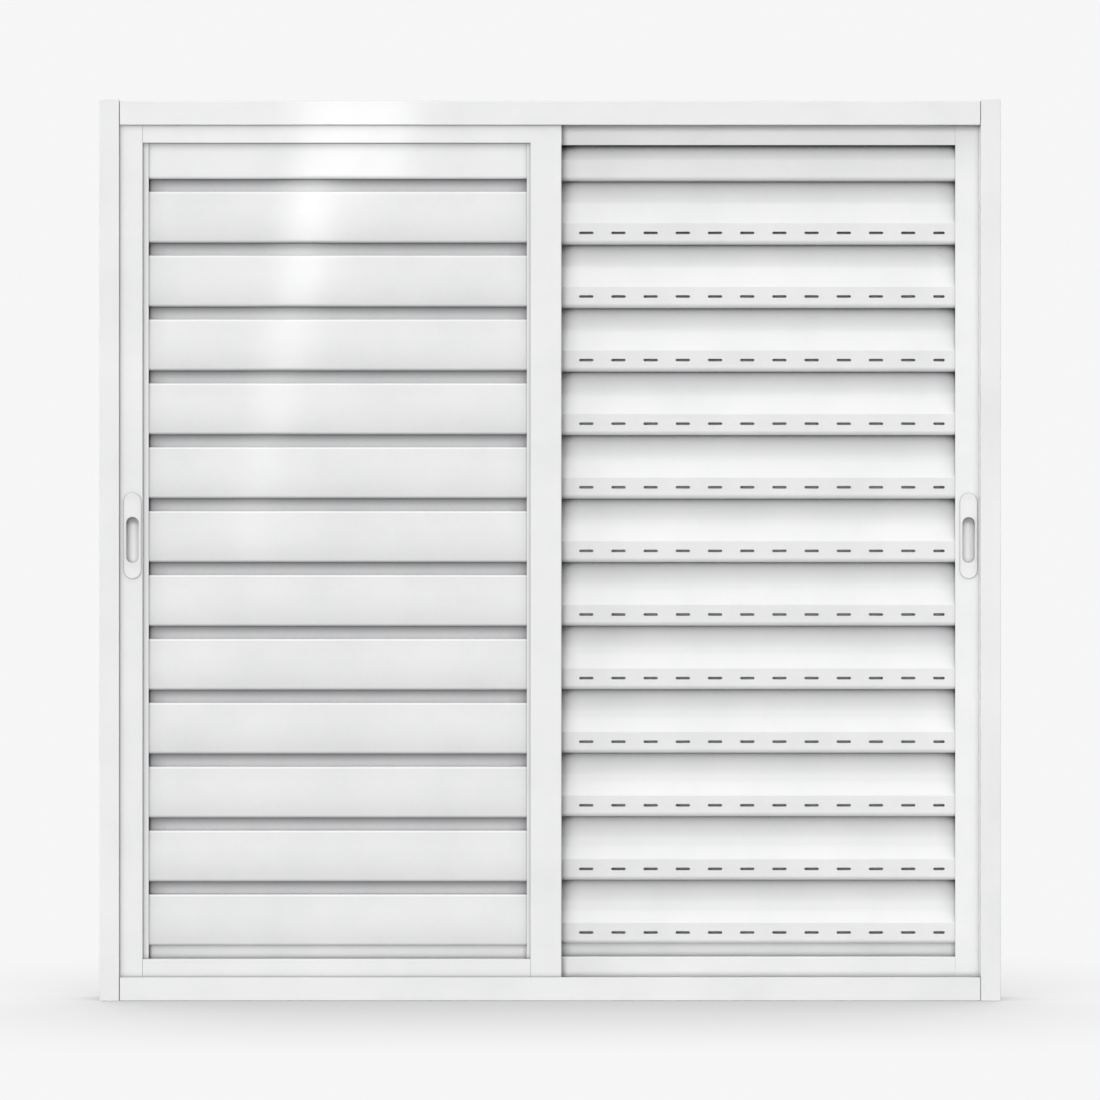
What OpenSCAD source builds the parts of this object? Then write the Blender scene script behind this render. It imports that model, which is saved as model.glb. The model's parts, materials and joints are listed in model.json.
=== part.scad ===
// Two-leaf sliding louvred window of coated aluminium extrusions.
// The front leaf holds blind slats and the rear leaf holds ventilated slats.
// Millimetres, +Z up, the front faces -Y, the origin lies under the middle of the frame.

/* [Frame] */
// Width over the two jambs
frame_w = 1200; // [1100:10:1400]
// Width of a jamb's front face
jamb_face = 26.5; // [25:0.5:30]
// Height of the head's front face
head_face = 32; // [30:0.5:34]
// Height of the sill's front face
sill_face = 31; // [28:0.5:34]
// Thickness of the lip at the front of each frame bar
front_lip_t = 2.5; // [2.2:0.1:4]
// Wall thickness of the frame bars
frame_t = 1.5; // [1.3:0.1:1.8]
// Distance between the two wall fixings of a jamb
fixing_pitch = 900; // [600:10:960]
// Diameter of a wall fixing hole
fixing_d = 5; // [4:0.5:6]

/* [Leaves] */
// Thickness of a leaf from front to back
leaf_d = 20; // [19:0.5:22]
// Free depth between the two leaves
leaf_gap = 8; // [8:0.5:11]
// Wall thickness of the leaf bars
leaf_t = 1.3; // [1.1:0.1:1.4]
// Visible width of the front leaf's outer stile beside its jamb
front_stile_w = 30.8; // [29:0.2:32]
// Visible width of the rear leaf's outer stile beside its jamb
rear_stile_w = 30.4; // [29:0.2:32]
// Width of the groove lip beside the front leaf's outer stile
front_lip_w = 7.4; // [5:0.2:9]
// Set-back of the front leaf's groove lips behind the stile's face
front_lip_back = 4.5; // [3:0.5:5]
// Width of the front leaf's meeting stile
front_meeting_w = 41.3; // [38:0.1:44]
// Width of the rear leaf's meeting stile
rear_meeting_w = 30.5; // [29:0.1:32]
// How far each leaf reaches past the middle of the window
meeting_reach = 15.3; // [15:0.1:17]
// Distance that each leaf slides
travel = 532; // [400:1:532]

/* [Slats] */
// Full slats in a leaf, below the cut-down top slat
slat_count = 12; // [8:1:12]
// Height from one slat to the next
slat_pitch = 85.25; // [83:0.05:90]
// Wall thickness of a slat
slat_t = 1.2; // [1:0.1:1.3]
// Height of a blind slat's face
face_h = 68.5; // [66:0.5:71]
// How far a blind slat's face leans back at its top
face_lean = 0.6; // [0.4:0.2:3]
// Height of a ventilated slat's slotted lip
lip_h = 28; // [26:0.5:30]
// Height of the slots above the bottom of the lip
slot_z = 15.2; // [13:0.2:17]
// Length of a slot
slot_l = 19.2; // [14:0.2:24]
// Height of a slot
slot_h = 3.6; // [3:0.1:4.5]
// Distance from one slot to the next
slot_pitch = 43.15; // [40:0.05:60]
// Length of the short slot at the outer end of each row
end_slot_l = 15.4; // [12:0.2:19]

/* [Pulls and rollers] */
// Length of a pull's flange
pull_l = 114.4; // [106:0.2:120]
// Width of a pull's flange
pull_w = 23.6; // [22:0.2:24]
// How far a pull stands out from its stile
pull_h = 2; // [1.6:0.1:2.2]
// Length of the finger opening
finger_l = 61; // [54:0.5:66]
// Width of the finger opening
finger_w = 16.4; // [14:0.2:17]
// Depth of the finger cup behind the stile's face
cup_d = 11; // [8:0.5:13]
// Radius of a roller where it runs on its track
roller_r = 8; // [7:0.5:8.5]

/* [Hidden] */
$fn = 64;
arc_fn = 240;
snug = 0.3;
joint_line = 0.8;
edge_r = 1;

// Depths, from the front face of the frame to its back
run_gap = 1.5;
frame_d = front_lip_t + 2 * run_gap + 2 * leaf_d + leaf_gap + frame_t;
front_y = -frame_d / 2;
channel_y = front_y + front_lip_t;
front_leaf_y = channel_y + run_gap;
rear_leaf_y = front_leaf_y + leaf_d + leaf_gap;
gap_y = front_leaf_y + leaf_d + leaf_gap / 2;
back_y = frame_d / 2 - frame_t;

// Heights, from the floor up
track_t = 2;
track_top = 18;
leaf_bottom = 14;
roller_web_z = 40.7;
bottom_rail_top = 54.9;
slat_base = 72.1;
top_slat_face = 47.6;
top_rail_h = 39.3;
top_rail_foot = 12;
lift_room = 18;
head_drop = 2;
divider_lap = 10;
top_slat_z = slat_base + slat_count * slat_pitch;
top_rail_bottom = top_slat_z + top_slat_face;
top_rail_web_z = top_rail_bottom + top_rail_foot;
leaf_top = top_rail_bottom + top_rail_h;
frame_h = leaf_top + lift_room;
head_top = frame_h - head_drop;
head_bottom = head_top - head_face;
divider_foot = leaf_top - divider_lap;

// Widths, from the middle of the window outwards
jamb_in = frame_w / 2 - jamb_face;
web_inset = 3;
web_in = frame_w / 2 - web_inset - frame_t;
bumper_t = 7.2;
cover_gap = 6.5;
leaf_edge = web_in - bumper_t - snug;
stop_x = meeting_reach + travel + snug;

// Screws and the round ports that they bite into
port_r = 1.6;
port_wall = 1.4;
port_in = 1.9;
frame_port_in = 2.8;
shank_r = 1.55;
screw_hole_r = 1.9;
screw_head_r = 2.5;
screw_head_h = 2;
screw_l = 18;
access_r = 4;
frame_port_y = [channel_y + frame_port_in, back_y - frame_port_in];
frame_port_z = [frame_t + frame_port_in, head_top - frame_t - frame_port_in];
leaf_port_v = leaf_d / 2;
bottom_port_z = roller_web_z + leaf_t + port_in;
top_port_z = top_rail_web_z + leaf_t + port_in;

// Groove and tongue that hook one slat to the next
groove_h = 7.3;
groove_gap = slat_t + 2 * snug;
lip_t = 1.2;
back_lip_w = 8;

// Values that differ between the front leaf and the rear leaf, drawn with the outer stile at -X
rear_groove = 6;
rear_meeting_groove = 4.2;
front_meeting_lip_w = 4.8;
front_pull_in = 13.5;
rear_pull_in = 12;
function is_front(leaf) = leaf == "front";
function leaf_y(leaf) = is_front(leaf) ? front_leaf_y : rear_leaf_y;
function lip_back(leaf) = is_front(leaf) ? front_lip_back : 0;
function stile_x(leaf) = is_front(leaf) ? front_stile_w - jamb_in : rear_stile_w - jamb_in - rear_groove;
function outer_lip_x(leaf) = stile_x(leaf) + (is_front(leaf) ? front_lip_w : rear_groove);
function meeting_x(leaf) =
    meeting_reach - (is_front(leaf) ? front_meeting_w : rear_meeting_w - rear_meeting_groove);
function meeting_lip_x(leaf) =
    meeting_x(leaf) - (is_front(leaf) ? front_meeting_lip_w : rear_meeting_groove);
function pull_x(leaf) = stile_x(leaf) - (is_front(leaf) ? front_pull_in : rear_pull_in);
function slat_v(leaf) = lip_back(leaf) + lip_t + snug;
function slat_d(leaf) = leaf_d - leaf_t - snug - slat_v(leaf);
function tongue_v(leaf) = slat_d(leaf) - 2 * slat_t - snug;
function slat_z(n) = slat_base + n * slat_pitch;
outer_roller_in = 115;
inner_roller_in = 125;
roller_x = [-leaf_edge + outer_roller_in, meeting_reach - inner_roller_in];
roller_lift = 0.25;
roller_z = track_top + roller_r + roller_lift;
pin_r = 2;
pull_rise = 47.4;
pull_z = top_rail_bottom / 2 + pull_rise;
finger_drop = 5.5;
cup_wall = 1.3;
cup_fit = 0.2;

white = [0.93, 0.93, 0.93];
nylon = [0.85, 0.85, 0.83];
steel = [0.62, 0.63, 0.65];
rubber = [0.12, 0.12, 0.12];
pile = [0.55, 0.56, 0.58];

leaf_pieces = [
    "outer_stile", "meeting_stile", "top_rail", "bottom_rail", "top_slat", "interlock", "pull",
    "top_guides", "leaf_screws", "roller_housings", "roller_pins", "outer_roller", "inner_roller"
];
slat_numbers = [for (n = [1 : slat_count]) n];

// Flat shapes

module bar(a, b) {
    translate(a) square(b - a);
}

module rounded_bar(a, b, r) {
    bar([a[0] + r, a[1]], [b[0] - r, b[1]]);
    bar([a[0], a[1] + r], [b[0], b[1] - r]);
    for (x = [a[0] + r, b[0] - r], y = [a[1] + r, b[1] - r]) translate([x, y]) circle(r);
}

module tube(a, b, t) {
    difference() {
        rounded_bar(a, b, edge_r);
        bar(a + [t, t], b - [t, t]);
    }
}

module port_ring() {
    circle(port_r + port_wall);
}

module port_bore() {
    circle(port_r);
}

module quarter_ring(r, t) {
    intersection() {
        difference() {
            circle(r);
            circle(r - t);
        }
        bar([-r, -r], [0, 0]);
    }
}

// Ways to place a section or a part

module along_x(x0, x1) {
    translate([x0, 0, 0]) rotate([90, 0, 90]) linear_extrude(x1 - x0) children();
}

module along_z(z0, z1) {
    translate([0, 0, z0]) linear_extrude(z1 - z0) children();
}

module block(a, b) {
    translate(a) cube(b - a);
}

module pin_x(p, r, l) {
    translate(p) rotate([0, 90, 0]) cylinder(h = l, r = r);
}

module pin_y(p, r, l) {
    translate(p) rotate([-90, 0, 0]) cylinder(h = l, r = r);
}

module on_side(right) {
    mirror([right ? 1 : 0, 0, 0]) children();
}

module in_leaf(leaf) {
    on_side(leaf == "rear") translate([0, leaf_y(leaf), 0]) children();
}

module screw_x(p, l) {
    pin_x(p - [screw_head_h, 0, 0], screw_head_r, screw_head_h);
    pin_x(p - [0.01, 0, 0], shank_r, l);
}

// Frame

module jamb_section() {
    outer = -frame_w / 2;
    rounded_bar([outer, front_y], [-jamb_in, channel_y], edge_r);
    bar([-web_in - frame_t, channel_y - frame_t], [-web_in, back_y + frame_t / 2]);
    bar([outer, back_y], [-jamb_in, back_y + frame_t]);
}

module jamb() {
    hole_x = -web_in - 2 * frame_t;
    difference() {
        along_z(0, frame_h) jamb_section();
        for (y = frame_port_y, z = frame_port_z) pin_x([hole_x, y, z], screw_hole_r, 3 * frame_t);
        for (s = [-1, 1])
            pin_x([hole_x, gap_y, frame_h / 2 + s * fixing_pitch / 2], fixing_d / 2, 3 * frame_t);
    }
}

module left_jamb() {
    color(white) jamb();
}

module right_jamb() {
    color(white) on_side(true) jamb();
}

module frame_bar_section(low, high, web_z, lip_z, ribs) {
    difference() {
        union() {
            rounded_bar([front_y, low], [channel_y, high], edge_r);
            bar([channel_y - frame_t, web_z], [back_y + frame_t, web_z + frame_t]);
            bar([back_y, lip_z[0]], [back_y + frame_t, lip_z[1]]);
            for (rib = ribs) bar([rib[0] - track_t / 2, rib[1]], [rib[0] + track_t / 2, rib[2]]);
            for (y = frame_port_y) translate([y, port_level(web_z)]) port_ring();
        }
        for (y = frame_port_y) translate([y, port_level(web_z)]) port_bore();
    }
}

function port_level(web_z) = web_z < frame_h / 2 ? frame_port_z[0] : frame_port_z[1];

module cut_ends(low, high) {
    butt = jamb_in - joint_line;
    past = frame_w;
    for (s = [0, 1]) on_side(s == 1) {
        block([-past, front_y - 1, low - 1], [-butt, channel_y + snug, high + 1]);
        block([-past, back_y - snug, low - 1], [-butt, back_y + frame_t + 1, high + 1]);
    }
}

module head() {
    web_z = head_top - frame_t;
    color(white) difference() {
        along_x(-web_in, web_in)
            frame_bar_section(head_bottom, head_top, web_z, [head_bottom, head_top],
                              [[gap_y, divider_foot, head_top - frame_t / 2]]);
        cut_ends(head_bottom, head_top);
    }
}

module sill() {
    back_lip_h = 24;
    weep_z = 11;
    weep_half = 12;
    weep_r = 2.5;
    guide_rise = 8;
    color(white) difference() {
        along_x(-web_in, web_in) {
            frame_bar_section(0, sill_face, 0, [0, back_lip_h],
                              [[gap_y, frame_t / 2, track_top + guide_rise],
                               [front_leaf_y + leaf_d / 2, frame_t / 2, track_top - track_t / 2],
                               [rear_leaf_y + leaf_d / 2, frame_t / 2, track_top - track_t / 2]]);
            for (y = [front_leaf_y, rear_leaf_y])
                translate([y + leaf_d / 2, track_top - track_t / 2]) circle(track_t / 2);
        }
        cut_ends(0, sill_face);
        for (x = [-frame_w / 3, 0, frame_w / 3]) {
            for (s = [-1, 1]) pin_y([x + s * weep_half, back_y - 1, weep_z], weep_r, frame_t + 2);
            block([x - weep_half, back_y - 1, weep_z - weep_r],
                  [x + weep_half, back_y + frame_t + 1, weep_z + weep_r]);
        }
    }
}

module pocket_cover(y0, y1) {
    cover_t = 1.3;
    end_gap = 2;
    along_z(sill_face + end_gap, head_bottom - end_gap) {
        bar([-jamb_in - cover_t, y0], [-jamb_in, y1]);
        for (y = [y0, y1 - cover_t]) bar([-web_in, y], [-jamb_in - cover_t / 2, y + cover_t]);
    }
}

module right_pocket_cover() {
    color(white) on_side(true) pocket_cover(channel_y + snug, gap_y - cover_gap);
}

module left_pocket_cover() {
    color(white) pocket_cover(gap_y + cover_gap, back_y - snug);
}

module frame_screws() {
    color(steel) for (s = [0, 1], y = frame_port_y, z = frame_port_z)
        on_side(s == 1) screw_x([-web_in - frame_t, y, z], screw_l);
}

module jamb_bumpers() {
    half_h = 15;
    half_d = 5;
    from_end = 150;
    color(rubber) for (leaf = ["front", "rear"], z = [from_end, frame_h - from_end])
        in_leaf(leaf) block([-web_in, leaf_d / 2 - half_d, z - half_h],
                            [-web_in + bumper_t, leaf_d / 2 + half_d, z + half_h]);
}

module jamb_seals() {
    seal_w = 6;
    seal_in = 9;
    end_gap = 6;
    seal_x = -jamb_in - seal_in;
    thick = run_gap - snug;
    low = sill_face + end_gap;
    high = head_bottom - end_gap;
    color(pile) {
        block([seal_x, channel_y, low], [seal_x + seal_w, channel_y + thick, high]);
        on_side(true) block([seal_x, back_y - thick, low], [seal_x + seal_w, back_y, high]);
    }
}

module opening_stops() {
    stop_l = 20;
    half_d = 5;
    foot_gap = 2;
    color(nylon) for (leaf = ["front", "rear"])
        on_side(leaf == "front") translate([0, leaf_y(leaf), 0])
            block([-stop_x - stop_l, leaf_d / 2 - half_d, head_bottom + foot_gap],
                  [-stop_x, leaf_d / 2 + half_d, head_top - frame_t]);
}

// Leaf bars, drawn with the outer stile at -X and the leaf's front face at y = 0

module stile_lips(x, front_end, back_end, leaf) {
    bar([min(x, front_end), lip_back(leaf)], [max(x, front_end), lip_back(leaf) + lip_t]);
    bar([min(x, back_end), leaf_d - leaf_t], [max(x, back_end), leaf_d]);
}

module outer_stile_lips(leaf) {
    root = stile_x(leaf) - edge_r;
    stile_lips(root, outer_lip_x(leaf), stile_x(leaf) + back_lip_w, leaf);
}

module meeting_stile_lips(leaf) {
    root = meeting_x(leaf) + edge_r;
    stile_lips(root, meeting_lip_x(leaf), meeting_x(leaf) - back_lip_w, leaf);
}

module corner_screw_holes(leaf) {
    for (z = [bottom_port_z, top_port_z]) {
        pin_x([stile_x(leaf) - 3, leaf_port_v, z], screw_hole_r, 6);
        pin_x([-leaf_edge - 1, leaf_port_v, z], access_r, leaf_edge + stile_x(leaf) - 4);
    }
}

module track_notch() {
    clear = 1;
    half_d = track_t / 2 + clear;
    block([-frame_w, leaf_d / 2 - half_d, leaf_bottom - 1],
          [frame_w, leaf_d / 2 + half_d, track_top + clear]);
}

module stile_plugs(leaf) {
    plug_t = 2;
    bite = leaf_t / 2;
    over_track = 3;
    sunk = 1;
    for (z = [track_top + over_track, leaf_top - plug_t - sunk])
        block([bite - leaf_edge, bite, z], [stile_x(leaf) - bite, leaf_d - bite, z + plug_t]);
}

module outer_stile(leaf) {
    color(white) in_leaf(leaf) difference() {
        union() {
            along_z(leaf_bottom, leaf_top) {
                tube([-leaf_edge, 0], [stile_x(leaf), leaf_d], leaf_t);
                outer_stile_lips(leaf);
            }
            stile_plugs(leaf);
        }
        corner_screw_holes(leaf);
        track_notch();
        pull_place(leaf) translate([0, -finger_drop, -3])
            linear_extrude(4) pill_outline(finger_w / 2 + cup_wall + cup_fit, finger_l - finger_w);
    }
}

module meeting_stile_section(leaf) {
    boss_x = (meeting_x(leaf) + meeting_reach) / 2;
    difference() {
        union() {
            tube([meeting_x(leaf), 0], [meeting_reach, leaf_d], leaf_t);
            translate([boss_x, leaf_port_v]) port_ring();
            bar([boss_x - 0.7, leaf_port_v], [boss_x + 0.7, leaf_d - leaf_t / 2]);
        }
        translate([boss_x, leaf_port_v]) port_bore();
    }
}

module meeting_stile(leaf) {
    color(white) in_leaf(leaf) difference() {
        union() {
            along_z(leaf_bottom, top_rail_bottom) {
                meeting_stile_section(leaf);
                meeting_stile_lips(leaf);
            }
            along_z(top_rail_bottom, top_rail_web_z) intersection() {
                meeting_stile_section(leaf);
                bar([meeting_x(leaf), slat_v(leaf)], [meeting_reach, leaf_d - leaf_t - snug]);
            }
        }
        pin_x([meeting_x(leaf) - 3, leaf_port_v, bottom_port_z], screw_hole_r, 6);
        pin_x([meeting_x(leaf) + 5, leaf_port_v, bottom_port_z], access_r, frame_w);
        track_notch();
    }
}

module rail_walls(low, high) {
    for (v = [0, leaf_d - leaf_t]) bar([v, low], [v + leaf_t, high]);
}

module rail_port(z) {
    translate([leaf_port_v, z]) children();
}

module eased_lips() {
    ease = 0.2;
    for (dx = [-ease, ease], dy = [-ease, ease]) translate([dx, dy]) children();
}

module top_rail(leaf) {
    return_h = 7;
    boss_x = (meeting_x(leaf) + meeting_reach) / 2;
    color(white) in_leaf(leaf) difference() {
        along_x(stile_x(leaf), meeting_reach) difference() {
            union() {
                rail_walls(top_rail_bottom, leaf_top);
                bar([0, leaf_top - leaf_t], [leaf_d, leaf_top]);
                bar([0, top_rail_web_z], [leaf_d, top_rail_web_z + leaf_t]);
                if (lip_back(leaf) > 0) {
                    bar([0, top_rail_bottom], [lip_back(leaf) + lip_t, top_rail_bottom + leaf_t]);
                    bar([lip_back(leaf), top_rail_bottom],
                        [lip_back(leaf) + lip_t, top_rail_bottom + return_h]);
                }
                rail_port(top_port_z) port_ring();
            }
            rail_port(top_port_z) port_bore();
        }
        along_z(top_rail_bottom - 1, leaf_top + 1) eased_lips() outer_stile_lips(leaf);
        translate([boss_x, leaf_port_v, top_rail_web_z - 1]) cylinder(h = 4, r = screw_hole_r);
        translate([boss_x, leaf_port_v, top_rail_web_z + leaf_t]) cylinder(h = top_rail_h, r = access_r);
    }
}

module bottom_rail(leaf) {
    tongue = slat_v(leaf) + tongue_v(leaf);
    color(white) in_leaf(leaf) difference() {
        along_x(stile_x(leaf), meeting_x(leaf)) difference() {
            union() {
                rail_walls(leaf_bottom, bottom_rail_top - edge_r);
                bar([edge_r, bottom_rail_top - leaf_t], [leaf_d - edge_r, bottom_rail_top]);
                for (v = [edge_r, leaf_d - edge_r]) translate([v, bottom_rail_top - edge_r]) circle(edge_r);
                bar([0, roller_web_z], [leaf_d, roller_web_z + leaf_t]);
                bar([tongue, bottom_rail_top - edge_r], [tongue + slat_t, slat_base + groove_h]);
                rail_port(bottom_port_z) port_ring();
            }
            rail_port(bottom_port_z) port_bore();
        }
        along_z(leaf_bottom - 1, slat_base + groove_h + 1) eased_lips() {
            outer_stile_lips(leaf);
            meeting_stile_lips(leaf);
        }
    }
}

module leaf_screws(leaf) {
    boss_x = (meeting_x(leaf) + meeting_reach) / 2;
    color(steel) in_leaf(leaf) {
        for (z = [bottom_port_z, top_port_z])
            screw_x([stile_x(leaf) - leaf_t, leaf_port_v, z], screw_l);
        translate([meeting_x(leaf) + leaf_t, leaf_port_v, bottom_port_z]) rotate([0, 0, 180])
            screw_x([0, 0, 0], screw_l);
        translate([boss_x, leaf_port_v, top_rail_web_z + leaf_t]) rotate([0, 90, 0])
            screw_x([0, 0, 0], screw_l);
    }
}

// Z-shaped strips on the meeting stiles that hook behind each other as the window closes
module interlock(leaf) {
    strip_t = 1;
    overlap = 0.6;
    web_x = 8;
    web_t = 1.2;
    hook_lap = 1.3;
    end_gap = 6;
    lip_v = leaf_gap / 2 + hook_lap;
    face_v = is_front(leaf) ? leaf_d : 0;
    flip = is_front(leaf) ? 0 : 1;
    color(white) in_leaf(leaf) translate([0, face_v, 0]) mirror([0, flip, 0])
        along_z(bottom_rail_top + end_gap, top_rail_bottom - end_gap) {
            bar([web_x, 0], [meeting_reach - snug, strip_t]);
            bar([web_x, 0], [web_x + web_t, lip_v]);
            bar([-overlap, lip_v - strip_t], [web_x + web_t, lip_v]);
        }
}

// Slats, drawn as a section of depth v behind the slat's front and height above its bottom

module slat_foot(leaf, r) {
    d = slat_d(leaf);
    inner = d - 2 * slat_t - groove_gap;
    translate([r, r]) quarter_ring(r, slat_t);
    bar([r, 0], [inner + slat_t, slat_t]);
    bar([inner, 0], [inner + slat_t, groove_h + slat_t]);
    bar([inner, groove_h], [d, groove_h + slat_t]);
    bar([d - slat_t, 0], [d, groove_h + slat_t]);
}

module slat_tongue(leaf, low) {
    bar([tongue_v(leaf), low], [tongue_v(leaf) + slat_t, slat_pitch + groove_h]);
}

module blind_section() {
    foot_r = 4;
    ledge_r = 1.6;
    lap = 0.3;
    top = face_h - ledge_r;
    slat_foot("front", foot_r);
    polygon([
        [lap, foot_r - lap], [slat_t, foot_r - lap], [slat_t, foot_r], [face_lean + slat_t, top],
        [face_lean + slat_t, top + lap], [face_lean + lap, top + lap], [face_lean, top], [0, foot_r]
    ]);
    translate([face_lean + ledge_r, top]) mirror([0, 1]) quarter_ring(ledge_r, slat_t);
    bar([face_lean + ledge_r, face_h - slat_t], [tongue_v("front") + slat_t, face_h]);
    slat_tongue("front", face_h - slat_t);
}

module vent_section() {
    foot_r = 6;
    d = slat_d("rear");
    run = tongue_v("rear");
    rise = slat_pitch - lip_h;
    sweep_r = (run * run + rise * rise) / (2 * run);
    slat_foot("rear", foot_r);
    bar([0, foot_r], [slat_t, lip_h]);
    intersection() {
        translate([run - sweep_r, slat_pitch]) difference() {
            circle(sweep_r + slat_t, $fn = arc_fn);
            circle(sweep_r, $fn = arc_fn);
        }
        bar([0, lip_h - slat_t], [run + slat_t, slat_pitch]);
    }
    slat_tongue("rear", slat_pitch - 1);
    bar([d - slat_t, groove_h], [d, slat_pitch - 1]);
    bar([run + slat_t / 2, slat_pitch - 1 - slat_t], [d, slat_pitch - 1]);
}

module slat_section(leaf) {
    if (leaf == "front") blind_section();
    if (leaf == "rear") vent_section();
}

module slat_bar(leaf) {
    clear = 1;
    translate([0, slat_v(leaf), 0])
        along_x(stile_x(leaf) + clear, meeting_x(leaf) - clear) children();
}

module pill_outline(r, straight) {
    translate([-r, -straight / 2]) square([2 * r, straight]);
    for (s = [-1, 1]) translate([0, s * straight / 2]) circle(r);
}

module slot(x, v, z, l) {
    translate([x, slat_v("rear") + v, z]) rotate([90, 90, 0])
        linear_extrude(3 * slat_t, center = true) pill_outline(slot_h / 2, l - slot_h);
}

module slot_row(v, z, start, first_l) {
    count = floor((meeting_lip_x("rear") - 20 - start) / slot_pitch);
    slot(start + (slot_l - first_l) / 2, v, z, first_l);
    for (k = [1 : count]) slot(start + k * slot_pitch, v, z, slot_l);
}

module full_slat(leaf, n) {
    row_in = 19.8;
    row_start = outer_lip_x("rear") + row_in;
    outlet_z = 48;
    color(white) in_leaf(leaf) translate([0, 0, slat_z(slat_count - n)]) difference() {
        slat_bar(leaf) slat_section(leaf);
        if (leaf == "rear") {
            slot_row(slat_t / 2, slot_z, row_start, end_slot_l);
            slot_row(slat_d("rear") - slat_t / 2, outlet_z, row_start + slot_pitch / 2, slot_l);
        }
    }
}

module top_slat(leaf) {
    end_gap = 0.5;
    cut_h = top_rail_web_z - top_slat_z - end_gap;
    color(white) in_leaf(leaf) translate([0, 0, top_slat_z]) slat_bar(leaf) intersection() {
        slat_section(leaf);
        bar([-1, -1], [leaf_d, cut_h]);
    }
}

// Flush pulls

module pull_place(leaf) {
    translate([pull_x(leaf), 0, pull_z]) rotate([90, 0, 0]) children();
}

module pill(straight) {
    for (turn = [0, 180]) rotate([0, 0, turn]) translate([0, straight / 2, 0])
        rotate_extrude(angle = 180) children();
    rotate([90, 0, 0]) linear_extrude(straight, center = true) {
        children();
        mirror([1, 0]) children();
    }
}

module pull(leaf) {
    rim_r = 1.5;
    flare_r = 1.2;
    floor_r = 4;
    flange_r = pull_w / 2;
    mouth_r = finger_w / 2;
    mouth_straight = finger_l - finger_w;
    catch_w = 8;
    color(white) in_leaf(leaf) pull_place(leaf) difference() {
        union() {
            pill(pull_l - pull_w) intersection() {
                union() {
                    bar([0, 0], [flange_r, pull_h - rim_r]);
                    bar([0, 0], [flange_r - rim_r, pull_h]);
                    translate([flange_r - rim_r, pull_h - rim_r]) circle(rim_r);
                }
                bar([0, 0], [flange_r, pull_h]);
            }
            translate([0, -finger_drop, 0]) {
                pill(mouth_straight) bar([0, -cup_d - cup_wall], [mouth_r + cup_wall, 0.5]);
                for (s = [-1, 1])
                    translate([-catch_w / 2, s * (finger_l / 2 + cup_wall) - 1, -leaf_t - 2])
                        cube([catch_w, 2, 1.6]);
            }
        }
        translate([0, -finger_drop, 0]) pill(mouth_straight) {
            bar([0, floor_r - cup_d], [mouth_r, pull_h + 1]);
            bar([0, -cup_d], [mouth_r - floor_r, floor_r]);
            translate([mouth_r - floor_r, floor_r - cup_d]) circle(floor_r);
            difference() {
                bar([0, pull_h - flare_r], [mouth_r + flare_r, pull_h + 1]);
                translate([mouth_r + flare_r, pull_h - flare_r]) circle(flare_r);
            }
        }
    }
}

// Running gear

module roller_housings(leaf) {
    cheek_t = 1.5;
    inner_half = 4.3;
    half_l = 24;
    over_track = 3;
    pin_fit = 0.05;
    mid = leaf_d / 2;
    color(steel) in_leaf(leaf) for (x = roller_x) difference() {
        union() {
            for (s = [-1, 1]) translate([x, mid + s * (inner_half + cheek_t / 2), 0])
                block([-half_l, -cheek_t / 2, track_top + over_track], [half_l, cheek_t / 2, roller_web_z]);
            block([x - half_l, mid - inner_half - cheek_t / 2, roller_web_z - cheek_t],
                  [x + half_l, mid + inner_half + cheek_t / 2, roller_web_z]);
        }
        pin_y([x, mid - leaf_d / 2, roller_z], pin_r + pin_fit, leaf_d);
    }
}

module roller_pins(leaf) {
    pin_half = 6.2;
    rivet_r = 3;
    rivet_h = 1;
    color(steel) in_leaf(leaf) for (x = roller_x) {
        pin_y([x, leaf_d / 2 - pin_half, roller_z], pin_r, 2 * pin_half);
        for (s = [-1, 1])
            pin_y([x, leaf_d / 2 + s * (pin_half + 0.4) - rivet_h / 2, roller_z], rivet_r, rivet_h);
    }
}

module roller(leaf, x) {
    half_w = 4;
    flange_h = 2;
    pin_fit = 0.06;
    rim_r = roller_r + flange_h;
    throat = track_t / 2 + snug;
    bore_r = pin_r + pin_fit;
    color(nylon) in_leaf(leaf) translate([x, leaf_d / 2, roller_z]) rotate([90, 0, 0])
        rotate_extrude() polygon([
            [bore_r, -half_w], [rim_r, -half_w], [rim_r, -throat - flange_h / 2], [roller_r, -throat],
            [roller_r, throat], [rim_r, throat + flange_h / 2], [rim_r, half_w], [bore_r, half_w]
        ]);
}

module top_guides(leaf) {
    frame_cheek = run_gap - snug;
    divider_cheek = leaf_gap / 2 - track_t / 2 - snug;
    front_cheek = is_front(leaf) ? frame_cheek : divider_cheek;
    back_cheek = is_front(leaf) ? divider_cheek : frame_cheek;
    half_l = 18;
    plate_h = 2.5;
    skirt_h = 10;
    skirt_z = leaf_top - skirt_h;
    outer_in = 40;
    inner_in = 20;
    color(nylon) in_leaf(leaf) for (x = [stile_x(leaf) + outer_in, meeting_x(leaf) - inner_in])
        along_x(x - half_l, x + half_l) {
            bar([-front_cheek, leaf_top], [leaf_d + back_cheek, leaf_top + plate_h]);
            bar([-front_cheek, skirt_z], [0, leaf_top + plate_h]);
            bar([leaf_d, skirt_z], [leaf_d + back_cheek, leaf_top + plate_h]);
        }
}

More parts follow.
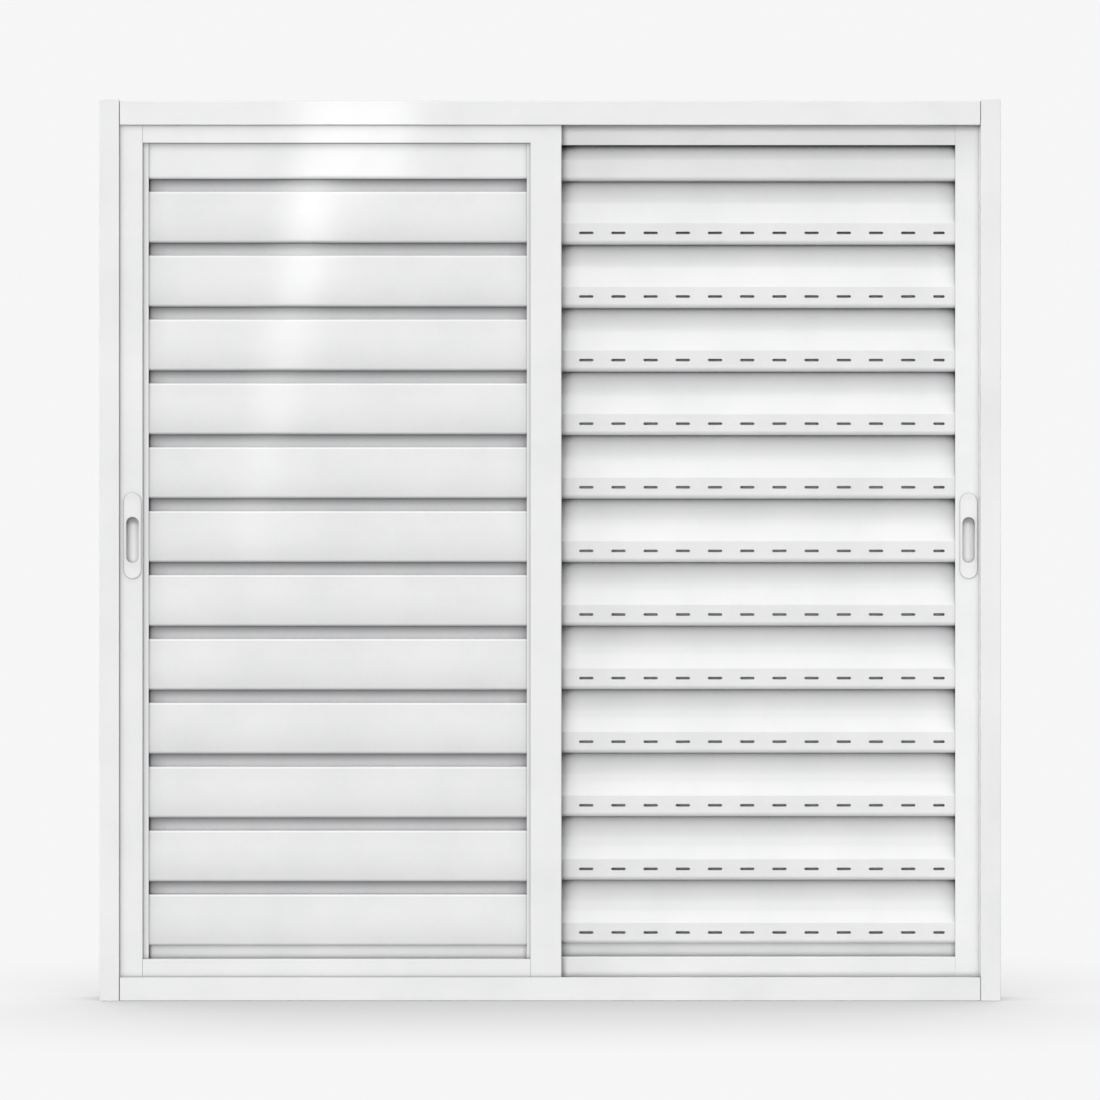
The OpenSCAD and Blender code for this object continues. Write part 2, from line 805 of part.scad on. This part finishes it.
module leaf_piece(leaf, piece) {
    if (piece == "outer_stile") outer_stile(leaf);
    if (piece == "meeting_stile") meeting_stile(leaf);
    if (piece == "top_rail") top_rail(leaf);
    if (piece == "bottom_rail") bottom_rail(leaf);
    if (piece == "top_slat") top_slat(leaf);
    if (piece == "interlock") interlock(leaf);
    if (piece == "pull") pull(leaf);
    if (piece == "top_guides") top_guides(leaf);
    if (piece == "leaf_screws") leaf_screws(leaf);
    if (piece == "roller_housings") roller_housings(leaf);
    if (piece == "roller_pins") roller_pins(leaf);
    if (piece == "outer_roller") roller(leaf, roller_x[0]);
    if (piece == "inner_roller") roller(leaf, roller_x[1]);
}

head();
sill();
left_jamb();
right_jamb();
left_pocket_cover();
right_pocket_cover();
frame_screws();
jamb_bumpers();
jamb_seals();
opening_stops();
for (leaf = ["front", "rear"], piece = leaf_pieces)
    leaf_piece(leaf, piece);
for (leaf = ["front", "rear"], n = slat_numbers)
    full_slat(leaf, n);
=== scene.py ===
"""Looks for the louvred sliding window: coated bars, moulded pulls, running gear, studio light."""
import json
import math

import bpy
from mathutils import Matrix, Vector


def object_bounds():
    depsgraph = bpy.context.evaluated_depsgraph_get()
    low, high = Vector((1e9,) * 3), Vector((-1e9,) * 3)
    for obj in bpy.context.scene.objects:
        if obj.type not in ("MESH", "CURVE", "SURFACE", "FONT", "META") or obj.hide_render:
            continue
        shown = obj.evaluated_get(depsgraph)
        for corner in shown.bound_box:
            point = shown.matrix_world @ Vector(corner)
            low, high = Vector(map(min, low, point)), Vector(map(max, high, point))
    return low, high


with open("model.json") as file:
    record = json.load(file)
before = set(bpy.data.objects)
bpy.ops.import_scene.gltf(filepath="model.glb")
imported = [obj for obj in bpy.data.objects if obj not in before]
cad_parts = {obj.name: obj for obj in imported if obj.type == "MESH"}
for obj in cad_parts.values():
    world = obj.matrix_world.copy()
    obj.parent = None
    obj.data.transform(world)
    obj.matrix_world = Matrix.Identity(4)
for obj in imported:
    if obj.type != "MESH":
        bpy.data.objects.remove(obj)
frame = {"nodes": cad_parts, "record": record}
cad_low, cad_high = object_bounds()

# The photograph's viewpoint: straight on, at half the window's height. Lengths are in metres
CAMERA_DISTANCE = 4.8275
CAMERA_HEIGHT = (cad_low[2] + cad_high[2]) / 2
CAMERA_LENS_MM = 118.0
CAMERA_SENSOR_MM = 36.0

# Surround, and a floor of the same tone with a painted shadow that darkens it near the window; the light
# meets a dimmer floor
BACKGROUND = (0.925, 0.925, 0.93)
AMBIENT = 0.12
FLOOR_HALF = 300.0
FLOOR_GAP = 0.0005
FLOOR_BOUNCE = 0.30
SHADOW_REACH = 0.55
SHADOW_TONE = 0.33
SHADOW_SAMPLES = 16

# Softboxes beside the camera: a short one, and a leaning strip that narrows and fades to its foot
SOFTBOX_Y = -4.8
STRIP_TOP = Vector((-0.625, 1.66))
STRIP_FOOT = Vector((-0.80, 0.66))
STRIP_TILT = 10.0
STRIP_WIDTH = 0.12
STRIP_NARROWING = 0.01
STRIP_LEVELS = (5.2, 3.4, 2.4, 1.7)

# Bars that run upright; the other coated bars run across
UPRIGHT = ("jamb", "stile", "interlock", "pocket_cover")

# Stretch of the die lines along a bar
LINES_ACROSS = (1.2, 420.0, 420.0)
LINES_UPRIGHT = (420.0, 420.0, 1.2)

# Painted shade in recesses: how far it looks for other faces, and its tones from a tight recess to an
# open face
PAINTED_SHADE_SAMPLES = 8
REACH_ACROSS = 0.012
REACH_UPRIGHT = 0.008
REACH_SLAT = 0.030
REACH_PULL = 0.009
PAINTED_SHADE_TONES = [
    (0.15, (0.28, 0.28, 0.29)),
    (0.55, (0.54, 0.54, 0.55)),
    (0.95, (1.0, 1.0, 1.0)),
]
BLIND_PAINTED_SHADE_TONES = [
    (0.08, (0.08, 0.08, 0.08)),
    (0.30, (0.37, 0.37, 0.38)),
    (0.42, (0.42, 0.42, 0.43)),
    (0.55, (0.62, 0.62, 0.63)),
    (0.70, (0.84, 0.84, 0.845)),
    (0.84, (1.0, 1.0, 1.0)),
]
VENT_PAINTED_SHADE_TONES = [
    (0.17, (0.04, 0.04, 0.04)),
    (0.28, (0.53, 0.53, 0.54)),
    (0.42, (0.68, 0.68, 0.69)),
    (0.55, (0.76, 0.76, 0.765)),
    (0.64, (0.87, 0.87, 0.872)),
    (0.82, (0.92, 0.92, 0.922)),
    (0.89, (1.0, 1.0, 1.0)),
]

# Painted light by height on a blind slat: painted shade, grey at its foot, and a painted highlight along
# the top edge of its face
SLAT_PAINTED_SHADE_AND_HIGHLIGHT_TONES = [
    (0.07, (0.885, 0.885, 0.888)),
    (0.28, (0.96, 0.96, 0.962)),
    (0.50, (1.0, 1.0, 1.0)),
    (0.710, (1.0, 1.0, 1.0)),
    (0.714, (1.16, 1.16, 1.16)),
    (0.740, (1.18, 1.18, 1.18)),
    (0.743, (1.0, 1.0, 1.0)),
]


# Material nodes

class Shader:
    """A material's node tree, with short calls to add the nodes that these looks share."""

    def __init__(self, name):
        self.material = bpy.data.materials.new(name)
        self.material.use_nodes = True
        self.tree = self.material.node_tree
        self.surface = self.tree.nodes["Principled BSDF"]

    def node(self, kind, **sockets):
        made = self.tree.nodes.new(kind)
        for socket, value in sockets.items():
            made.inputs[socket.replace("_", " ")].default_value = value
        return made

    def link(self, source, socket):
        self.tree.links.new(source, socket)

    def place(self, stretch):
        """The point on the piece, in metres, stretched along each axis."""
        coords = self.node("ShaderNodeTexCoord")
        mapping = self.node("ShaderNodeMapping", Scale=stretch)
        self.link(coords.outputs["Object"], mapping.inputs["Vector"])
        return mapping.outputs["Vector"]

    def noise(self, scale=1.0, detail=2.0, roughness=0.5, stretch=(1, 1, 1)):
        made = self.node("ShaderNodeTexNoise", Scale=scale, Detail=detail, Roughness=roughness)
        self.link(self.place(stretch), made.inputs["Vector"])
        return made.outputs["Fac"]

    def spread(self, source, low, high):
        """The middle of a noise, spread from low to high."""
        made = self.node("ShaderNodeMapRange", From_Min=0.3, From_Max=0.7, To_Min=low, To_Max=high)
        self.link(source, made.inputs["Value"])
        return made.outputs["Result"]

    def colours(self, source, stops):
        ramp = self.node("ShaderNodeValToRGB")
        self.link(source, ramp.inputs["Fac"])
        points = ramp.color_ramp.elements
        points[0].position, points[0].color = stops[0][0], (*stops[0][1], 1.0)
        points[1].position, points[1].color = stops[-1][0], (*stops[-1][1], 1.0)
        for place, colour in stops[1:-1]:
            points.new(place).color = (*colour, 1.0)
        return ramp.outputs["Color"]

    def times(self, colour, tone):
        made = self.node("ShaderNodeMix")
        made.data_type = "RGBA"
        made.blend_type = "MULTIPLY"
        factor, first, second = made.inputs[0], made.inputs[6], made.inputs[7]
        factor.default_value = 1.0
        self.link(colour, first)
        self.link(tone, second)
        return made.outputs[2]

    def painted_recess_shade(self, colour, reach, tones, lean):
        """The colour, darkened as painted shade where other faces lie within reach, those above more so
        by lean.
        """
        geometry = self.node("ShaderNodeNewGeometry")
        upward = self.node("ShaderNodeVectorMath")
        upward.inputs[1].default_value = (0.0, 0.0, lean)
        self.link(geometry.outputs["Normal"], upward.inputs[0])
        even = self.node("ShaderNodeVectorMath")
        even.operation = "NORMALIZE"
        self.link(upward.outputs["Vector"], even.inputs[0])
        # Ambient occlusion darkens the colour: painted shade in grooves, slots and under overhangs
        near = self.node("ShaderNodeAmbientOcclusion", Distance=reach)
        near.samples = PAINTED_SHADE_SAMPLES
        self.link(even.outputs["Vector"], near.inputs["Normal"])
        return self.times(colour, self.colours(near.outputs["AO"], tones))

    def painted_slat_shade_and_highlight(self, colour):
        """The colour, toned by height on the piece: painted shade toward a blind slat's foot, and a
        painted highlight along the top edge of its face.
        """
        coords = self.node("ShaderNodeTexCoord")
        split = self.node("ShaderNodeSeparateXYZ")
        self.link(coords.outputs["Generated"], split.inputs[0])
        return self.times(colour, self.colours(split.outputs["Z"], SLAT_PAINTED_SHADE_AND_HIGHLIGHT_TONES))

    def bump(self, source, depth, strength, after=None):
        made = self.node("ShaderNodeBump", Strength=strength, Distance=depth)
        self.link(source, made.inputs["Height"])
        if after:
            self.link(after, made.inputs["Normal"])
        return made.outputs["Normal"]

    def finish(self, colour, roughness, normal, **constants):
        self.link(colour, self.surface.inputs["Base Color"])
        self.link(roughness, self.surface.inputs["Roughness"])
        self.link(normal, self.surface.inputs["Normal"])
        for socket, value in constants.items():
            self.surface.inputs[socket.replace("_", " ")].default_value = value
        return self.material


# Materials

def white_coat(name, lines_along, reach, tones, lean=0.0, painted_slat_light=False):
    """Gloss white coating: cloudy tint, painted shade in recesses, orange peel, and the faint die lines
    of the bar beneath.
    """
    shader = Shader(name)
    cloud = shader.noise(scale=9.0, detail=4.0, roughness=0.55)
    tint = shader.colours(cloud, [(0.30, (0.800, 0.803, 0.805)), (0.52, (0.835, 0.837, 0.838)),
                                  (0.72, (0.862, 0.862, 0.860))])
    # Painted shade in recesses, grooves and slots
    tint = shader.painted_recess_shade(tint, reach, tones, lean)
    # Blind slats: painted shade toward the foot and a painted highlight along the face's top edge
    if painted_slat_light:
        tint = shader.painted_slat_shade_and_highlight(tint)
    lines = shader.noise(detail=3.0, roughness=0.6, stretch=lines_along)
    gloss = shader.spread(lines, low=0.05, high=0.09)
    peel = shader.bump(shader.noise(scale=700.0, detail=1.0), depth=0.00003, strength=0.2)
    normal = shader.bump(lines, depth=0.00002, strength=0.1, after=peel)
    return shader.finish(tint, gloss, normal)


def white_plastic():
    """Moulded pull: smooth and glossy, with a little flow marking, and painted shade in the cup."""
    shader = Shader("white_plastic")
    flow = shader.noise(scale=60.0, detail=3.0, roughness=0.6, stretch=(1.0, 1.0, 0.3))
    tint = shader.colours(flow, [(0.3, (0.825, 0.827, 0.827)), (0.7, (0.855, 0.855, 0.852))])
    # Painted shade in the cup
    tint = shader.painted_recess_shade(tint, REACH_PULL, PAINTED_SHADE_TONES, lean=0.8)
    gloss = shader.spread(flow, low=0.18, high=0.26)
    normal = shader.bump(shader.noise(scale=1600.0, detail=1.0), depth=0.00003, strength=0.2)
    return shader.finish(tint, gloss, normal)


def nylon():
    """Rollers, guides and stops: waxy off-white nylon with rubbed patches."""
    shader = Shader("nylon")
    patches = shader.noise(scale=120.0, detail=4.0, roughness=0.6)
    tint = shader.colours(patches, [(0.3, (0.62, 0.62, 0.58)), (0.7, (0.72, 0.72, 0.69))])
    gloss = shader.spread(patches, low=0.38, high=0.55)
    normal = shader.bump(shader.noise(scale=2200.0), depth=0.00004, strength=0.3)
    return shader.finish(tint, gloss, normal,
                         Subsurface_Weight=0.05, Subsurface_Radius=(0.002, 0.002, 0.002))


def steel():
    """Zinc-plated screws, pins and roller housings: bright, with rolled grain."""
    shader = Shader("steel")
    grain = shader.noise(detail=3.0, roughness=0.6, stretch=(60.0, 2400.0, 2400.0))
    tint = shader.colours(grain, [(0.3, (0.50, 0.51, 0.53)), (0.7, (0.66, 0.67, 0.68))])
    gloss = shader.spread(grain, low=0.24, high=0.42)
    normal = shader.bump(grain, depth=0.00003, strength=0.3)
    return shader.finish(tint, gloss, normal, Metallic=1.0)


def rubber():
    """Bumpers: dull black rubber with a dusty bloom."""
    shader = Shader("rubber")
    bloom = shader.noise(scale=180.0, detail=4.0, roughness=0.65)
    tint = shader.colours(bloom, [(0.35, (0.016, 0.016, 0.017)), (0.75, (0.045, 0.045, 0.046))])
    gloss = shader.spread(bloom, low=0.62, high=0.85)
    normal = shader.bump(shader.noise(scale=2600.0), depth=0.00006, strength=0.5)
    return shader.finish(tint, gloss, normal)


def pile():
    """Pile strip: fine upright grey fibres."""
    shader = Shader("pile")
    fibres = shader.noise(roughness=0.7, stretch=(3200.0, 500.0, 3200.0))
    tint = shader.colours(fibres, [(0.3, (0.20, 0.205, 0.215)), (0.7, (0.36, 0.365, 0.375))])
    gloss = shader.spread(fibres, low=0.85, high=0.95)
    normal = shader.bump(fibres, depth=0.0003, strength=0.9)
    return shader.finish(tint, gloss, normal, Sheen_Weight=0.3)


LOOKS = {
    "bar_across": white_coat("bar_across", LINES_ACROSS, REACH_ACROSS, PAINTED_SHADE_TONES),
    "bar_upright": white_coat("bar_upright", LINES_UPRIGHT, REACH_UPRIGHT, PAINTED_SHADE_TONES),
    "blind_slat": white_coat("blind_slat", LINES_ACROSS, REACH_SLAT, BLIND_PAINTED_SHADE_TONES, lean=1.0, painted_slat_light=True),
    "vent_slat": white_coat("vent_slat", LINES_ACROSS, REACH_SLAT, VENT_PAINTED_SHADE_TONES, lean=1.0),
    "white_plastic": white_plastic(),
    "nylon": nylon(),
    "steel": steel(),
    "rubber": rubber(),
    "pile": pile(),
}


def look_for(node, slot):
    """The look of a node: a coated one goes by what it is, any other by its material slot."""
    if slot != "white_coat":
        return LOOKS[slot]
    if node.startswith("front_slat"):
        return LOOKS["blind_slat"]
    if node.startswith(("rear_slat", "rear_top_slat")):
        return LOOKS["vent_slat"]
    return LOOKS["bar_upright" if any(word in node for word in UPRIGHT) else "bar_across"]


for subpart in frame["record"]["subparts"]:
    mesh = frame["nodes"][subpart["node"]].data
    mesh.materials.clear()
    mesh.materials.append(look_for(subpart["node"], subpart["material_slot"]))


# Stage: a pale floor with a painted shadow, under an even pale surround

def showing_rays(tree):
    """1 for the rays that show the stage: from the camera, off gloss, or through glass."""
    rays = tree.nodes.new("ShaderNodeLightPath")
    total = rays.outputs["Is Camera Ray"]
    for kind in ("Is Glossy Ray", "Is Transmission Ray"):
        either = tree.nodes.new("ShaderNodeMath")
        either.operation = "MAXIMUM"
        tree.links.new(total, either.inputs[0])
        tree.links.new(rays.outputs[kind], either.inputs[1])
        total = either.outputs[0]
    return total


def stage_floor():
    """The rays that show the stage see a floor as pale as the surround, with a painted shadow near the
    window.
    """
    mesh = bpy.data.meshes.new("floor")
    corners = [(x * FLOOR_HALF, y * FLOOR_HALF, 0.0) for x, y in ((-1, -1), (1, -1), (1, 1), (-1, 1))]
    mesh.from_pydata(corners, [], [(0, 1, 2, 3)])
    floor = bpy.data.objects.new("floor", mesh)
    floor.location.z = cad_low[2] - FLOOR_GAP
    floor.visible_shadow = False
    bpy.context.scene.collection.objects.link(floor)
    material = bpy.data.materials.new("floor")
    material.use_nodes = True
    tree = material.node_tree
    tree.nodes.clear()
    # Emission dimmed by ambient occlusion: a painted shadow around the window's base
    near = tree.nodes.new("ShaderNodeAmbientOcclusion")
    near.samples = SHADOW_SAMPLES
    near.inputs["Distance"].default_value = SHADOW_REACH
    tone = tree.nodes.new("ShaderNodeMapRange")
    tone.inputs["To Min"].default_value = SHADOW_TONE
    tree.links.new(near.outputs["AO"], tone.inputs["Value"])
    seen = tree.nodes.new("ShaderNodeEmission")
    seen.inputs["Color"].default_value = (*BACKGROUND, 1.0)
    tree.links.new(tone.outputs["Result"], seen.inputs["Strength"])
    bounce = tree.nodes.new("ShaderNodeBsdfDiffuse")
    bounce.inputs["Color"].default_value = (FLOOR_BOUNCE, FLOOR_BOUNCE, FLOOR_BOUNCE, 1.0)
    mix = tree.nodes.new("ShaderNodeMixShader")
    output = tree.nodes.new("ShaderNodeOutputMaterial")
    tree.links.new(showing_rays(tree), mix.inputs["Fac"])
    tree.links.new(bounce.outputs[0], mix.inputs[1])
    tree.links.new(seen.outputs[0], mix.inputs[2])
    tree.links.new(mix.outputs[0], output.inputs["Surface"])
    mesh.materials.append(material)


def surround():
    """A world that shows the background's tone and lights the window with a low, even ambient."""
    world = bpy.data.worlds.new("surround")
    world.use_nodes = True
    tree = world.node_tree
    tree.nodes.clear()
    seen = tree.nodes.new("ShaderNodeBackground")
    seen.inputs["Color"].default_value = (*BACKGROUND, 1.0)
    lit = tree.nodes.new("ShaderNodeBackground")
    lit.inputs["Color"].default_value = (1.0, 1.0, 1.0, 1.0)
    lit.inputs["Strength"].default_value = AMBIENT
    mix = tree.nodes.new("ShaderNodeMixShader")
    tree.links.new(showing_rays(tree), mix.inputs["Fac"])
    tree.links.new(lit.outputs[0], mix.inputs[1])
    tree.links.new(seen.outputs[0], mix.inputs[2])
    output = tree.nodes.new("ShaderNodeOutputWorld")
    tree.links.new(mix.outputs[0], output.inputs["Surface"])
    bpy.context.scene.world = world


# Lights and camera

def facing(way):
    """The turn that points a light or a camera along a way."""
    return Vector(way).to_track_quat("-Z", "Y").to_euler()


def sun(name, toward, strength, angle, in_gloss=False):
    """A broad, even light: toward points from the window to it, in_gloss lets the coating mirror it."""
    data = bpy.data.lights.new(name, "SUN")
    data.energy = strength
    data.angle = math.radians(angle)
    made = bpy.data.objects.new(name, data)
    made.rotation_euler = facing(-Vector(toward))
    made.visible_glossy = in_gloss
    bpy.context.scene.collection.objects.link(made)


def softbox(name, x, z, size, radiance, tilt=0.0):
    """An upright panel beside the camera that shows as a streak in the gloss of the bars."""
    data = bpy.data.lights.new(name, "AREA")
    data.shape = "RECTANGLE"
    data.size, data.size_y = size
    data.energy = radiance * math.pi * size[0] * size[1]
    made = bpy.data.objects.new(name, data)
    made.location = (x, SOFTBOX_Y, z)
    made.rotation_euler = (math.radians(90.0), math.radians(tilt), 0.0)
    bpy.context.scene.collection.objects.link(made)


def strip():
    """Softboxes end to end, from the strip's top to its foot."""
    count = len(STRIP_LEVELS)
    length = (STRIP_TOP - STRIP_FOOT).length / count
    for n, level in enumerate(STRIP_LEVELS):
        middle = STRIP_TOP.lerp(STRIP_FOOT, (n + 0.5) / count)
        width = STRIP_WIDTH - STRIP_NARROWING * n
        softbox(f"strip_{n}", middle.x, middle.y, (width, length), level, STRIP_TILT)


def front_camera():
    data = bpy.data.cameras.new("camera")
    data.lens = CAMERA_LENS_MM
    data.sensor_width = CAMERA_SENSOR_MM
    made = bpy.data.objects.new("camera", data)
    made.location = (0.0, -CAMERA_DISTANCE, CAMERA_HEIGHT)
    made.rotation_euler = facing((0.0, 1.0, 0.0))
    bpy.context.scene.collection.objects.link(made)
    bpy.context.scene.camera = made


stage_floor()
surround()
sun("front_light", toward=(-0.12, -1.0, 0.04), strength=1.92, angle=25.0)
sun("top_light", toward=(0.0, -0.5, 1.0), strength=1.1, angle=60.0, in_gloss=True)
sun("side_light", toward=(-1.0, -0.45, 0.10), strength=0.6, angle=30.0)
sun("back_light", toward=(0.45, 1.0, 0.40), strength=2.0, angle=30.0)
softbox("softbox", x=-0.515, z=1.735, size=(0.30, 0.16), radiance=4.2)
strip()
front_camera()
bpy.context.scene.view_settings.view_transform = "Standard"
